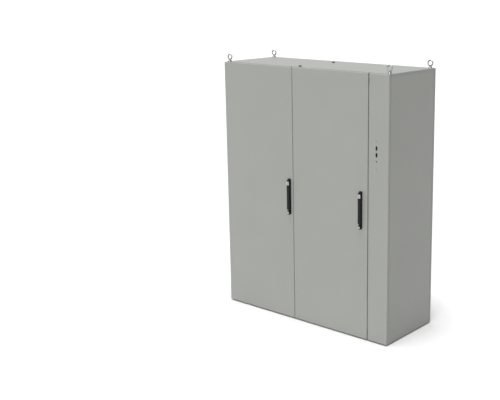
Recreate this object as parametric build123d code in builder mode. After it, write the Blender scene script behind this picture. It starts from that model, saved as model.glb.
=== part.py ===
from build123d import *
import math
import os

# Floor-standing two-door switchboard cabinet with a fixed disconnect panel.
# Origin: centre of the floor-bolt pattern, on the floor. +X to the right seen from the front,
# +Y to the back, +Z up. The door faces lie in the plane y = FRONT. Millimetres.

os.makedirs("parts", exist_ok=True)

# --- overall size -------------------------------------------------------------------------
WIDTH = 1600
DEPTH = 600
HEIGHT = 2000
LEFT, RIGHT = -WIDTH / 2, WIDTH / 2
FRONT, REAR = -DEPTH / 2, DEPTH / 2

# --- sheet thicknesses and gaps -----------------------------------------------------------
DOOR_SHEET = 2.0
BODY_SHEET = 1.5
FRAME_SHEET = 2.5
POST_WALL = 2.0
BEND = 4.0                     # outside bend radius of the door and panel folds
SEAM = 1.5                     # seam between neighbouring outer sheets

# --- doors and disconnect panel -----------------------------------------------------------
PAN_DEPTH = 20                 # folded depth of doors, disconnect panel and rear panel
HINGE_FOLD = 18                # shorter fold on a door's hinge side
PAN_BOTTOM = 10
PAN_TOP = HEIGHT - 3
PANEL_WIDTH = 170
PANEL_GAP = 10                 # gap between the right door and the disconnect panel
DOOR_GAP = 4                   # gap between the two doors
PANEL_X0 = RIGHT - PANEL_WIDTH
DOOR_WIDTH = (PANEL_X0 - PANEL_GAP - LEFT - DOOR_GAP) / 2
LEFT_DOOR = (LEFT, LEFT + DOOR_WIDTH)
RIGHT_DOOR = (LEFT + DOOR_WIDTH + DOOR_GAP, PANEL_X0 - PANEL_GAP)
SKIN_BACK = FRONT + DOOR_SHEET

# --- gaskets and the rims that they close on ----------------------------------------------
GASKET_WIDTH = 8
RIM = 2
RIM_FRONT = FRONT + 16
GASKET_BACK = RIM_FRONT - 0.3
HINGE_SEAL = 42                # gasket line from the door edge on the hinge side
LATCH_SEAL = 9                 # gasket line from the door edge on the latch side
SEAL_LOW = PAN_BOTTOM + 12
SEAL_HIGH = PAN_TOP - 12
SEALS = {
    "left": (LEFT_DOOR[0] + HINGE_SEAL, LEFT_DOOR[1] - LATCH_SEAL),
    "right": (RIGHT_DOOR[0] + HINGE_SEAL, RIGHT_DOOR[1] - LATCH_SEAL),
    "panel": (PANEL_X0 + LATCH_SEAL, RIGHT - 12),
}

# --- frame --------------------------------------------------------------------------------
FRAME_X = 790                  # half width over the frame
FRAME_FRONT = FRONT + 30
FRAME_REAR = REAR - 24
BASE_TOP = 60
TOP_BOTTOM = HEIGHT - 60
FRAME_TOP = HEIGHT - BODY_SHEET
FLANGE = 60                    # width of the frames' horizontal flanges
POST = 45                      # side of the square posts
SLOT_PITCH = 50                # system perforation of posts and stiffeners
POST_SLOT = (10, 22)
TAB_DEPTH = 22                 # how far the gap tabs and strip stand out from the frame
STRIP_Z = (75, 1925)           # strip behind the gap beside the disconnect panel
CENTRE_POST = (SEALS["left"][1] - 6, SEALS["right"][0] + 7)
PANEL_POST = (SEALS["right"][1] - 5, SEALS["panel"][0] + 33)
FLOOR_HOLE_R = 7
FLOOR_HOLES = (760, 243)       # half spacings of the floor-bolt holes

# --- hinges -------------------------------------------------------------------------------
HINGE_HEIGHTS = (200, 730, 1260, 1790)
HINGE_INSET = 13               # pin axis from the door edge
HINGE_BACK = 11                # pin axis behind the door face
HINGE_Y = FRONT + HINGE_BACK
PIN_R = 3.0
PIN_CLEARANCE = 0.05
KNUCKLE_R = 5.0
FRAME_KNUCKLE = 10             # half height of the frame knuckle
DOOR_KNUCKLE = 25              # half height over the door knuckles

# --- latch and handle ---------------------------------------------------------------------
HANDLE_X = {"left": LEFT_DOOR[1] - 33, "right": RIGHT_DOOR[1] - 59}
SPINDLE_Z = 902
MODULE = 1.5
PINION_TEETH = 12
PITCH_R = MODULE * PINION_TEETH / 2
RACK_ADDENDUM = 1.0
RACK_DEDENDUM = 1.6
PINION_ADDENDUM = 1.3
PINION_DEDENDUM = 1.25
BACKLASH = 0.3
PRESSURE = math.radians(20)
GEAR_Y = (FRONT + 5, FRONT + 13)
ROD_Y = (FRONT + 6, FRONT + 12)
ROD_X = (3.7, 13.7)            # rod edges from the spindle axis
ROD_TRAVEL = PITCH_R * math.pi / 2
UPPER_TIP = SEAL_HIGH - 13
LOWER_TIP = SEAL_LOW + 13
ENGAGE = 10                    # how far a rod tip reaches into its keeper
BOX_HALF = (15, 45)
BOX_BACK = FRONT + 18
HANDLE_WIDTH = 27
HANDLE_Z = (857, 1139)
BASE_FRONT = FRONT - 7
LEVER_Y = (FRONT - 23, FRONT - 7.5)
LEVER_TOP = 1131
LEVER_AXIS_Y = sum(LEVER_Y) / 2
LEVER_R = (LEVER_Y[1] - LEVER_Y[0]) / 2
SPINDLE_R = 6.0
LOCK_Z = 1105
LOCK_R = 7.0
LOCK_PLATE = (24, 30, 2.5)     # width, height and thickness
CAP_Z = 871
CAP_OFFSET = -2                # cap centre from the handle's middle
CAP_R = (6, 9)                 # cap shank and cap head
FOOT = 13                      # how far the handle's foot stands out from its base
FORK_HALF = 9                  # half the gap between the lever's cheeks
LEVER_PIN_R = 2.5

# --- roof, eyebolts and disconnect operator -----------------------------------------------
EYE_X, EYE_Y = 776, 260
EYE_RING = (20, 5.5)           # ring's mean radius and wire radius
EYE_Z = HEIGHT + 36
EYE_COLLAR = (15, 8)           # radius and height of the collar on the roof
ROOF_BOLTS = ((-50, -248), (-50, 150))
SLOT_X = RIGHT - 103
SLOT_Z = (1470, 1421)
SLOT_SIZE = (32, 16)
OPERATOR_HOLES = ((1374, 5.0), (1318, 2.75), (1521, 2.75))

# --- fasteners: (across flats or diameter, thickness) -------------------------------------
SCREW_R = 3.0                  # panel screws
SCREW_HOLE_R = 3.2
SCREW_HEAD = (6, 1.5)          # radius and height of a panel screw's head
M8_R = 4.0
M8_HOLE_R = 4.5
M8_HEAD = (13, 5.3)
M8_NUT = (13, 6.5)
M8_WASHER = (8, 1.6)           # radius and thickness
M12_R = 6.0
M12_HEAD = (19, 7)
M12_WASHER = (14, 1.5)
GLAND_SCREW_R = 2.5
GLAND_HOLE_R = 2.7

# --- inside -------------------------------------------------------------------------------
PLATE_X = (-690, 690)
PLATE_Z = (110, 1890)
PLATE_Y = 200
PLATE_SHEET = 3
PLATE_FOLD = 15
BRACKET_X = 600
STUD_X = (-300, 300)
STUD_Y = 250


# --- helpers: each works on the part that is being built ----------------------------------
def block(x, y, z, mode=Mode.ADD):
    """A rectangular block between pairs of x, y and z limits."""
    with BuildSketch(Plane.XY.offset(z[0])) as outline:
        with Locations(((x[0] + x[1]) / 2, (y[0] + y[1]) / 2)):
            Rectangle(x[1] - x[0], y[1] - y[0])
    extrude(outline.sketch, amount=z[1] - z[0], mode=mode)


def bar(origin, direction, radius, length, mode=Mode.ADD):
    """A round bar or hole that starts at origin and runs along direction."""
    with BuildSketch(Plane(origin=origin, z_dir=direction)) as outline:
        Circle(radius)
    extrude(outline.sketch, amount=length, mode=mode)


def hexagon(origin, direction, across, length):
    """A hexagon head or nut that starts at origin."""
    with BuildSketch(Plane(origin=origin, z_dir=direction)) as outline:
        RegularPolygon(across / 2, 6, major_radius=False)
    extrude(outline.sketch, amount=length)


def facing(y):
    """The upright plane at y, drawn as seen from the front."""
    return Plane(origin=(0, y, 0), x_dir=(1, 0, 0), z_dir=(0, -1, 0))


def flat_ring(x, y, width, z):
    """A flat rectangular ring of the given width, between two heights."""
    middle = ((x[0] + x[1]) / 2, (y[0] + y[1]) / 2)
    with BuildSketch(Plane.XY.offset(z[0])) as outline:
        with Locations(middle):
            Rectangle(x[1] - x[0], y[1] - y[0])
            Rectangle(x[1] - x[0] - 2 * width, y[1] - y[0] - 2 * width, mode=Mode.SUBTRACT)
    extrude(outline.sketch, amount=z[1] - z[0])


def upright_ring(x, z, width, y):
    """An upright rectangular ring round the centre line given by x and z limits."""
    middle = ((x[0] + x[1]) / 2, (z[0] + z[1]) / 2)
    with BuildSketch(facing(y[1])) as outline:
        with Locations(middle):
            Rectangle(x[1] - x[0] + width, z[1] - z[0] + width)
            Rectangle(x[1] - x[0] - width, z[1] - z[0] - width, mode=Mode.SUBTRACT)
    extrude(outline.sketch, amount=y[1] - y[0])


def rims(z):
    """The upright rims of all three front openings between two heights."""
    for low, high in SEALS.values():
        for x in (low, high):
            block((x - RIM / 2, x + RIM / 2), (RIM_FRONT, FRAME_FRONT), z)


def save(part, name):
    """Label a finished piece and write it."""
    part.label = name
    export_step(part, f"parts/{name}.step")


# --- bolt places that more than one piece needs -------------------------------------------
SIDE_SCREWS = [(y, z) for y in (-257, 257) for z in (156, 995, 1835)]
REAR_SCREWS = [(x, z) for x in (-768, 768) for z in (90, 545, 1000, 1455, 1910)]
PANEL_BOLT_Z = (200, 750, 1250, 1800)   # each between two system slots
PANEL_BOLTS = [(x, z) for x in (PANEL_POST[1] - 16, FRAME_X - 22) for z in PANEL_BOLT_Z]
GLAND_EDGES = (-738, -246, 246, 738)
GLAND_Y = (-221, 226)
GLAND_SHEET = 2
GLAND_SCREWS = [
    (x, y)
    for low, high in zip(GLAND_EDGES, GLAND_EDGES[1:])
    for x in (low + 20, high - 20)
    for y in (GLAND_Y[0] + 6, GLAND_Y[1] - 5)
]
PLATE_BOLTS = [
    (x, z) for x in (-BRACKET_X, BRACKET_X) for z in (PLATE_Z[0] + 22, PLATE_Z[1] - 22)
]

# ==========================================================================================
# Frame
# ==========================================================================================
frame_x = (-FRAME_X, FRAME_X)
frame_y = (FRAME_FRONT, FRAME_REAR)
TAB_X = (PANEL_X0 - PANEL_GAP / 2 - 3, PANEL_X0 - PANEL_GAP / 2 + 3)

with BuildPart() as base_frame:
    flat_ring(frame_x, frame_y, FRAME_SHEET, (0, BASE_TOP))
    flat_ring(frame_x, frame_y, FLANGE, (0, FRAME_SHEET))
    flat_ring(frame_x, frame_y, FLANGE, (BASE_TOP - FRAME_SHEET, BASE_TOP))
    rims((SEAL_LOW - RIM / 2, BASE_TOP))
    for low, high in SEALS.values():
        block((low, high), (RIM_FRONT, FRAME_FRONT), (SEAL_LOW - RIM / 2, SEAL_LOW + RIM / 2))
    block(TAB_X, (FRAME_FRONT - TAB_DEPTH, FRAME_FRONT), (20, 50))
    for x in (-FLOOR_HOLES[0], FLOOR_HOLES[0]):
        for y in (-FLOOR_HOLES[1], FLOOR_HOLES[1]):
            bar((x, y, 0), (0, 0, 1), FLOOR_HOLE_R, FRAME_SHEET, Mode.SUBTRACT)
    for x, y in GLAND_SCREWS:
        bar((x, y, BASE_TOP), (0, 0, -1), GLAND_SCREW_R, FRAME_SHEET, Mode.SUBTRACT)
save(base_frame.part, "base_frame")

with BuildPart() as top_frame:
    flat_ring(frame_x, frame_y, FRAME_SHEET, (TOP_BOTTOM, FRAME_TOP))
    flat_ring(frame_x, frame_y, POST, (TOP_BOTTOM, TOP_BOTTOM + FRAME_SHEET))
    flat_ring(frame_x, frame_y, FLANGE, (FRAME_TOP - FRAME_SHEET, FRAME_TOP))
    rims((TOP_BOTTOM, SEAL_HIGH + RIM / 2))
    for low, high in SEALS.values():
        block((low, high), (RIM_FRONT, FRAME_FRONT), (SEAL_HIGH - RIM / 2, SEAL_HIGH + RIM / 2))
    block(TAB_X, (FRAME_FRONT - TAB_DEPTH, FRAME_FRONT), (HEIGHT - 40, HEIGHT - 16))
    for x in (-EYE_X, EYE_X):
        for y in (-EYE_Y, EYE_Y):
            bar((x, y, FRAME_TOP), (0, 0, -1), M12_R, FRAME_SHEET, Mode.SUBTRACT)
    bar((*ROOF_BOLTS[0], FRAME_TOP), (0, 0, -1), M12_R, FRAME_SHEET, Mode.SUBTRACT)
save(top_frame.part, "top_frame")


def slot_column(plane, height):
    """One column of system slots cut through the wall behind the plane."""
    count = int(height // SLOT_PITCH) - 1
    with BuildSketch(plane) as slots:
        with GridLocations(1, SLOT_PITCH, 1, count):
            Rectangle(*POST_SLOT)
    extrude(slots.sketch, amount=-POST_WALL - 1, mode=Mode.SUBTRACT)


MIDDLE_Z = (BASE_TOP + TOP_BOTTOM) / 2
POST_Z = (BASE_TOP, TOP_BOTTOM)


def hollow_post(x, y):
    """A square or rectangular tube between the two frames."""
    block(x, y, POST_Z)
    inner_x = (x[0] + POST_WALL, x[1] - POST_WALL)
    inner_y = (y[0] + POST_WALL, y[1] - POST_WALL)
    block(inner_x, inner_y, POST_Z, Mode.SUBTRACT)


def corner_post(name, side, face):
    """A corner post: side is -1 left or 1 right, face is -1 front or 1 rear."""
    outer_y = FRAME_FRONT if face < 0 else FRAME_REAR
    x = sorted((side * FRAME_X, side * (FRAME_X - POST)))
    y = sorted((outer_y, outer_y - face * POST))
    height = TOP_BOTTOM - BASE_TOP
    with BuildPart() as post:
        hollow_post(x, y)
        side_wall = (side * (FRAME_X - POST), sum(y) / 2, MIDDLE_Z)
        slot_column(Plane(origin=side_wall, x_dir=(0, 1, 0), z_dir=(-side, 0, 0)), height)
        inner_wall = (sum(x) / 2, outer_y - face * POST, MIDDLE_Z)
        slot_column(Plane(origin=inner_wall, x_dir=(1, 0, 0), z_dir=(0, -face, 0)), height)
        for screw_y, z in SIDE_SCREWS:
            if screw_y * face > 0:
                bar((side * FRAME_X, screw_y, z), (-side, 0, 0), SCREW_R, POST_WALL, Mode.SUBTRACT)
        if face > 0:
            for screw_x, z in REAR_SCREWS:
                if screw_x * side > 0:
                    bar((screw_x, FRAME_REAR, z), (0, -1, 0), SCREW_R, POST_WALL, Mode.SUBTRACT)
        elif side < 0:
            x_rim = SEALS["left"][0]
            block((x_rim - RIM / 2, x_rim + RIM / 2), (RIM_FRONT, FRAME_FRONT), POST_Z)
        else:
            x_rim = SEALS["panel"][1]
            block((x_rim - RIM / 2, x_rim + RIM / 2), (RIM_FRONT, FRAME_FRONT), POST_Z)
            for bolt_x, z in PANEL_BOLTS[4:]:
                bar((bolt_x, FRAME_FRONT, z), (0, 1, 0), M8_R, POST, Mode.SUBTRACT)
    save(post.part, name)


corner_post("front_left_post", -1, -1)
corner_post("front_right_post", 1, -1)
corner_post("rear_left_post", -1, 1)
corner_post("rear_right_post", 1, 1)


def front_post(name, x, rim_lines, bolts, strip_z=None):
    """An upright between two front openings, with the rims of both and perhaps a gap strip."""
    y = (FRAME_FRONT, FRAME_FRONT + POST)
    with BuildPart() as post:
        hollow_post(x, y)
        for line in rim_lines:
            block((line - RIM / 2, line + RIM / 2), (RIM_FRONT, FRAME_FRONT), POST_Z)
        plane = Plane(origin=(sum(x) / 2, y[1], MIDDLE_Z), x_dir=(1, 0, 0), z_dir=(0, 1, 0))
        slot_column(plane, TOP_BOTTOM - BASE_TOP)
        for bolt_x, z in bolts:
            bar((bolt_x, FRAME_FRONT, z), (0, 1, 0), M8_R, POST, Mode.SUBTRACT)
        if strip_z:
            block(TAB_X, (FRAME_FRONT - TAB_DEPTH, FRAME_FRONT), strip_z)
    save(post.part, name)


front_post("centre_post", CENTRE_POST, (SEALS["left"][1], SEALS["right"][0]), [])
panel_rims = (SEALS["right"][1], SEALS["panel"][0])
front_post("disconnect_post", PANEL_POST, panel_rims, PANEL_BOLTS[:4], STRIP_Z)

# ==========================================================================================
# Roof
# ==========================================================================================
ROOF_Y = (FRONT + 27, REAR - 21.5)
ROOF_FOLD = 14

with BuildPart() as roof_panel:
    block((LEFT, RIGHT), ROOF_Y, (HEIGHT - ROOF_FOLD, HEIGHT))
    fillet(roof_panel.edges().group_by(Axis.Z)[-1], radius=3)
    block(
        (LEFT + BODY_SHEET, RIGHT - BODY_SHEET),
        (ROOF_Y[0] + BODY_SHEET, ROOF_Y[1] - BODY_SHEET),
        (HEIGHT - ROOF_FOLD, HEIGHT - BODY_SHEET),
        Mode.SUBTRACT,
    )
    for x in (-EYE_X, EYE_X):
        for y in (-EYE_Y, EYE_Y):
            bar((x, y, HEIGHT), (0, 0, -1), M12_R, BODY_SHEET, Mode.SUBTRACT)
    for x, y in ROOF_BOLTS:
        bar((x, y, HEIGHT), (0, 0, -1), M12_R, BODY_SHEET, Mode.SUBTRACT)
save(roof_panel.part, "roof_panel")

BEAM_X = (-80, -20)
BEAM_Y = (FRAME_FRONT + FLANGE, FRAME_REAR - FLANGE)
BEAM_Z = (HEIGHT - 40, FRAME_TOP)
with BuildPart() as roof_beam:
    block(BEAM_X, BEAM_Y, BEAM_Z)
    hollow_x = (BEAM_X[0] + FRAME_SHEET, BEAM_X[1] - FRAME_SHEET)
    block(hollow_x, BEAM_Y, (BEAM_Z[0], FRAME_TOP - FRAME_SHEET), Mode.SUBTRACT)
    bar((*ROOF_BOLTS[1], FRAME_TOP), (0, 0, -1), M12_R, FRAME_SHEET, Mode.SUBTRACT)
save(roof_beam.part, "roof_beam")

with BuildPart() as roof_bolts:
    for x, y in ROOF_BOLTS:
        bar((x, y, HEIGHT), (0, 0, 1), *M12_WASHER)
        hexagon((x, y, HEIGHT + M12_WASHER[1]), (0, 0, 1), *M12_HEAD)
        bar((x, y, HEIGHT), (0, 0, -1), M12_R, 22)
save(roof_bolts.part, "roof_bolts")

with BuildPart() as eyebolts:
    for x in (-EYE_X, EYE_X):
        for y in (-EYE_Y, EYE_Y):
            bar((x, y, HEIGHT), (0, 0, -1), M12_R, 26)
            with BuildSketch(Plane.XY.offset(HEIGHT)):
                with Locations((x, y)):
                    Circle(EYE_COLLAR[0])
            extrude(amount=EYE_COLLAR[1], taper=8)
            bar((x, y, HEIGHT + EYE_COLLAR[1] - 1), (0, 0, 1), 7.5, 6)
            with Locations(Location((x, y, EYE_Z), (90, 0, 0))):
                Torus(*EYE_RING)
save(eyebolts.part, "eyebolts")

# ==========================================================================================
# Outer panels
# ==========================================================================================
SPACER_R = 9                   # welded spacer round each panel screw

with BuildPart() as rear_panel:
    block((LEFT, RIGHT), (REAR - PAN_DEPTH, REAR), (PAN_BOTTOM, PAN_TOP))
    fillet(rear_panel.edges().group_by(Axis.Y)[-1], radius=BEND)
    block(
        (LEFT + BODY_SHEET, RIGHT - BODY_SHEET),
        (REAR - PAN_DEPTH, REAR - BODY_SHEET),
        (PAN_BOTTOM + BODY_SHEET, PAN_TOP - BODY_SHEET),
        Mode.SUBTRACT,
    )
    for x, z in REAR_SCREWS:
        bar((x, FRAME_REAR, z), (0, 1, 0), SPACER_R, REAR - BODY_SHEET - FRAME_REAR)
        bar((x, REAR, z), (0, -1, 0), SCREW_HOLE_R, REAR - FRAME_REAR, Mode.SUBTRACT)
save(rear_panel.part, "rear_panel")

with BuildPart() as rear_panel_screws:
    for x, z in REAR_SCREWS:
        bar((x, REAR, z), (0, 1, 0), *SCREW_HEAD)
        bar((x, REAR, z), (0, -1, 0), SCREW_R, REAR - FRAME_REAR + 10)
save(rear_panel_screws.part, "rear_panel_screws")

SIDE_Y = (FRONT + 23, REAR - 23)
SIDE_Z = (PAN_BOTTOM, HEIGHT - ROOF_FOLD - SEAM)


def side_panel(name, side):
    """A side panel: a flat sheet with a welded return frame set in from its edges."""
    sheet_x = sorted((side * RIGHT, side * (RIGHT - BODY_SHEET)))
    fold_x = sorted((side * FRAME_X, side * (RIGHT - BODY_SHEET)))
    inset = 8
    with BuildPart() as panel:
        block(sheet_x, SIDE_Y, SIDE_Z)
        outer_y = (SIDE_Y[0] + inset, SIDE_Y[1] - inset)
        outer_z = (SIDE_Z[0] + inset, SIDE_Z[1] - inset)
        block(fold_x, outer_y, outer_z)
        inner_y = (outer_y[0] + BODY_SHEET, outer_y[1] - BODY_SHEET)
        inner_z = (outer_z[0] + BODY_SHEET, outer_z[1] - BODY_SHEET)
        block(fold_x, inner_y, inner_z, Mode.SUBTRACT)
        for y, z in SIDE_SCREWS:
            bar((side * FRAME_X, y, z), (side, 0, 0), SPACER_R, RIGHT - BODY_SHEET - FRAME_X)
            bar((side * RIGHT, y, z), (-side, 0, 0), SCREW_HOLE_R, RIGHT - FRAME_X, Mode.SUBTRACT)
    save(panel.part, name)


side_panel("left_side_panel", -1)
side_panel("right_side_panel", 1)

with BuildPart() as side_panel_screws:
    for side in (-1, 1):
        for y, z in SIDE_SCREWS:
            bar((side * RIGHT, y, z), (side, 0, 0), *SCREW_HEAD)
            bar((side * RIGHT, y, z), (-side, 0, 0), SCREW_R, RIGHT - FRAME_X + 10)
save(side_panel_screws.part, "side_panel_screws")

# ==========================================================================================
# Disconnect panel
# ==========================================================================================
BOSS = 16
with BuildPart() as disconnect_panel:
    block((PANEL_X0, RIGHT), (FRONT, FRONT + PAN_DEPTH), (PAN_BOTTOM, PAN_TOP))
    fillet(disconnect_panel.edges().group_by(Axis.Y)[0], radius=BEND)
    block(
        (PANEL_X0 + DOOR_SHEET, RIGHT - DOOR_SHEET),
        (SKIN_BACK, FRONT + PAN_DEPTH),
        (PAN_BOTTOM + DOOR_SHEET, PAN_TOP - DOOR_SHEET),
        Mode.SUBTRACT,
    )
    for x, z in PANEL_BOLTS:
        half = BOSS / 2
        block((x - half, x + half), (SKIN_BACK, FRAME_FRONT), (z - half, z + half))
        bar((x, FRAME_FRONT, z), (0, -1, 0), M8_R, 20, Mode.SUBTRACT)
    with BuildSketch(facing(SKIN_BACK)):
        with Locations(*[(SLOT_X, z) for z in SLOT_Z]):
            SlotOverall(*SLOT_SIZE, rotation=90)
        for z, radius in OPERATOR_HOLES:
            with Locations((SLOT_X, z)):
                Circle(radius)
    extrude(amount=DOOR_SHEET, mode=Mode.SUBTRACT)
save(disconnect_panel.part, "disconnect_panel")

with BuildPart() as disconnect_panel_gasket:
    upright_ring(SEALS["panel"], (SEAL_LOW, SEAL_HIGH), GASKET_WIDTH, (SKIN_BACK, GASKET_BACK))
save(disconnect_panel_gasket.part, "disconnect_panel_gasket")

with BuildPart() as disconnect_panel_bolts:
    for x, z in PANEL_BOLTS:
        hexagon((x, FRAME_FRONT + POST, z), (0, 1, 0), *M8_HEAD)
        bar((x, FRAME_FRONT + POST, z), (0, -1, 0), M8_R, POST + 16)
save(disconnect_panel_bolts.part, "disconnect_panel_bolts")

# ==========================================================================================
# Floor and mounting plate
# ==========================================================================================
with BuildPart() as gland_plates:
    for low, high in zip(GLAND_EDGES, GLAND_EDGES[1:]):
        block((low + 1, high - 1), GLAND_Y, (BASE_TOP, BASE_TOP + GLAND_SHEET))
    for x, y in GLAND_SCREWS:
        bar((x, y, BASE_TOP), (0, 0, 1), GLAND_HOLE_R, GLAND_SHEET, Mode.SUBTRACT)
save(gland_plates.part, "gland_plates")

with BuildPart() as gland_plate_screws:
    for x, y in GLAND_SCREWS:
        bar((x, y, BASE_TOP + GLAND_SHEET), (0, 0, 1), 5, 2.5)
        bar((x, y, BASE_TOP + GLAND_SHEET), (0, 0, -1), GLAND_SCREW_R, 12)
save(gland_plate_screws.part, "gland_plate_screws")

PLATE_BACK = PLATE_Y + PLATE_SHEET
with BuildPart() as mounting_plate:
    block(PLATE_X, (PLATE_Y, PLATE_BACK), PLATE_Z)
    for edge, inward in zip(PLATE_X, (1, -1)):
        fold = sorted((edge, edge + inward * PLATE_SHEET))
        block(fold, (PLATE_Y, PLATE_Y + PLATE_FOLD), PLATE_Z)
    for x, z in PLATE_BOLTS:
        bar((x, PLATE_Y, z), (0, 1, 0), M8_HOLE_R, PLATE_SHEET, Mode.SUBTRACT)
save(mounting_plate.part, "mounting_plate")

BRACKET_SHEET = 4
with BuildPart() as plate_brackets:
    for x in (-BRACKET_X, BRACKET_X):
        across = (x - 25, x + 25)
        upright = (PLATE_BACK, PLATE_BACK + BRACKET_SHEET)
        foot = (PLATE_BACK, FRAME_REAR - 10)
        low = BASE_TOP + GLAND_SHEET
        block(across, upright, (low, PLATE_Z[0] + 45))
        block(across, foot, (low, low + BRACKET_SHEET))
        block(across, upright, (PLATE_Z[1] - 45, TOP_BOTTOM))
        block(across, foot, (TOP_BOTTOM - BRACKET_SHEET, TOP_BOTTOM))
    for x, z in PLATE_BOLTS:
        bar((x, PLATE_BACK, z), (0, 1, 0), M8_HOLE_R, BRACKET_SHEET, Mode.SUBTRACT)
save(plate_brackets.part, "plate_brackets")

with BuildPart() as plate_bolts:
    for x, z in PLATE_BOLTS:
        bar((x, PLATE_Y, z), (0, -1, 0), *M8_WASHER)
        hexagon((x, PLATE_Y - M8_WASHER[1], z), (0, -1, 0), *M8_HEAD)
        bar((x, PLATE_Y, z), (0, 1, 0), M8_R, 18)
        hexagon((x, PLATE_BACK + BRACKET_SHEET, z), (0, 1, 0), *M8_NUT)
save(plate_bolts.part, "plate_bolts")

with BuildPart() as earth_studs:
    for x in STUD_X:
        bar((x, STUD_Y, BASE_TOP), (0, 0, 1), M8_R, 28)
        bar((x, STUD_Y, BASE_TOP), (0, 0, 1), *M8_WASHER)
        hexagon((x, STUD_Y, BASE_TOP + M8_WASHER[1]), (0, 0, 1), *M8_NUT)
save(earth_studs.part, "earth_studs")

# ==========================================================================================
# Hinges
# ==========================================================================================
DOORS = {"left": LEFT_DOOR, "right": RIGHT_DOOR}
hinge_places = [
    (edges[0] + HINGE_INSET, HINGE_Y, z) for edges in DOORS.values() for z in HINGE_HEIGHTS
]


def sheet_outline(x, y, z, points, height):
    """A prism on a closed outline, given from the hinge axis, from z up."""
    with BuildSketch(Plane.XY.offset(z)) as outline:
        with BuildLine():
            Polyline(*[(x + dx, y + dy) for dx, dy in points], close=True)
        make_face()
    extrude(outline.sketch, amount=height)


reach = FRAME_FRONT - HINGE_Y
FRAME_ARM = ((0, -3), (4, -2), (22, reach - 4), (24, reach), (8, reach), (-1, 4))
DOOR_ARM = ((-3, -3), (-2, -9), (20, -9), (20, -6.5), (6, -6.5), (4, 2))

with BuildPart() as hinge_frame_leaves:
    for x, y, z in hinge_places:
        bar((x, y, z - FRAME_KNUCKLE), (0, 0, 1), KNUCKLE_R, 2 * FRAME_KNUCKLE)
        sheet_outline(x, y, z - FRAME_KNUCKLE, FRAME_ARM, 2 * FRAME_KNUCKLE)
    for x, y, z in hinge_places:
        bar((x, y, z - FRAME_KNUCKLE), (0, 0, 1), PIN_R, 2 * FRAME_KNUCKLE, Mode.SUBTRACT)
save(hinge_frame_leaves.part, "hinge_frame_leaves")

with BuildPart() as hinge_pins:
    for x, y, z in hinge_places:
        bar((x, y, z - DOOR_KNUCKLE - 1), (0, 0, 1), PIN_R, 2 * DOOR_KNUCKLE + 1.5)
        bar((x, y, z + DOOR_KNUCKLE + 0.5), (0, 0, 1), PIN_R + 1, 2)
save(hinge_pins.part, "hinge_pins")

# ==========================================================================================
# Keepers: hooks on the frame that the rod tips reach into
# ==========================================================================================
KEEPER_WALL = 2.5
KEEPER_PLAY = 0.5
with BuildPart() as latch_keepers:
    for handle_x in HANDLE_X.values():
        for rod_side, tip, away in ((-1, UPPER_TIP, 1), (1, LOWER_TIP, -1)):
            rod_x = handle_x + rod_side * sum(ROD_X) / 2
            half = (ROD_X[1] - ROD_X[0]) / 2 + KEEPER_PLAY
            mouth = tip - away * ENGAGE
            roof = tip + away * 2
            outer = sorted((mouth, roof + away * KEEPER_WALL))
            y = (ROD_Y[0] - KEEPER_PLAY - KEEPER_WALL + 0.5, FRAME_FRONT)
            block((rod_x - half - KEEPER_WALL, rod_x + half + KEEPER_WALL), y, outer)
    for handle_x in HANDLE_X.values():
        for rod_side, tip, away in ((-1, UPPER_TIP, 1), (1, LOWER_TIP, -1)):
            rod_x = handle_x + rod_side * sum(ROD_X) / 2
            half = (ROD_X[1] - ROD_X[0]) / 2 + KEEPER_PLAY
            pocket = sorted((tip - away * ENGAGE, tip + away * 2))
            y = (ROD_Y[0] - KEEPER_PLAY, ROD_Y[1] + KEEPER_PLAY)
            block((rod_x - half, rod_x + half), y, pocket, Mode.SUBTRACT)
save(latch_keepers.part, "latch_keepers")


# ==========================================================================================
# Doors
# ==========================================================================================
STIFFENER_WIDTH = 22
STIFFENER_BACK = FRONT + 14
STIFFENER_Z = (75, 1925)
NOTCH = DOOR_KNUCKLE + 4
UPPER_GUIDES = (1180, 1420, 1660, 1900)
LOWER_GUIDES = (140, 380, 620)
GUIDE_HALF = 10


def door_skin(name, x):
    """The folded door pan, with notches for the hinges and a spindle hole."""
    handle_x = HANDLE_X[name]
    with BuildPart() as skin:
        block(x, (FRONT, FRONT + PAN_DEPTH), (PAN_BOTTOM, PAN_TOP))
        fillet(skin.edges().group_by(Axis.Y)[0], radius=BEND)
        block(
            (x[0] + DOOR_SHEET, x[1] - DOOR_SHEET),
            (SKIN_BACK, FRONT + PAN_DEPTH),
            (PAN_BOTTOM + DOOR_SHEET, PAN_TOP - DOOR_SHEET),
            Mode.SUBTRACT,
        )
        trimmed = (FRONT + HINGE_FOLD, FRONT + PAN_DEPTH)
        block((x[0], x[0] + 30), trimmed, (PAN_BOTTOM, PAN_TOP), Mode.SUBTRACT)
        for z in HINGE_HEIGHTS:
            notch_y = (FRONT + BEND + 1, FRONT + PAN_DEPTH)
            block((x[0], x[0] + DOOR_SHEET), notch_y, (z - NOTCH, z + NOTCH), Mode.SUBTRACT)
        bar((handle_x, FRONT, SPINDLE_Z), (0, 1, 0), SPINDLE_R + 1, DOOR_SHEET, Mode.SUBTRACT)
    save(skin.part, f"{name}_door_skin")


def door_stiffener(name, x):
    """The perforated ring frame welded inside the door."""
    ring_x = (x[0] + 70, HANDLE_X[name] - 40)
    depth = (SKIN_BACK, STIFFENER_BACK)
    with BuildPart() as stiffener:
        upright_ring(ring_x, STIFFENER_Z, STIFFENER_WIDTH, depth)
        with BuildSketch(facing(STIFFENER_BACK)):
            with Locations((sum(ring_x) / 2, sum(STIFFENER_Z) / 2)):
                with GridLocations(ring_x[1] - ring_x[0], SLOT_PITCH, 2, 35):
                    Rectangle(8, 18)
                with GridLocations(SLOT_PITCH, STIFFENER_Z[1] - STIFFENER_Z[0], 9, 2):
                    Rectangle(18, 8)
        extrude(amount=8, mode=Mode.SUBTRACT)
    save(stiffener.part, f"{name}_door_stiffener")


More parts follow.
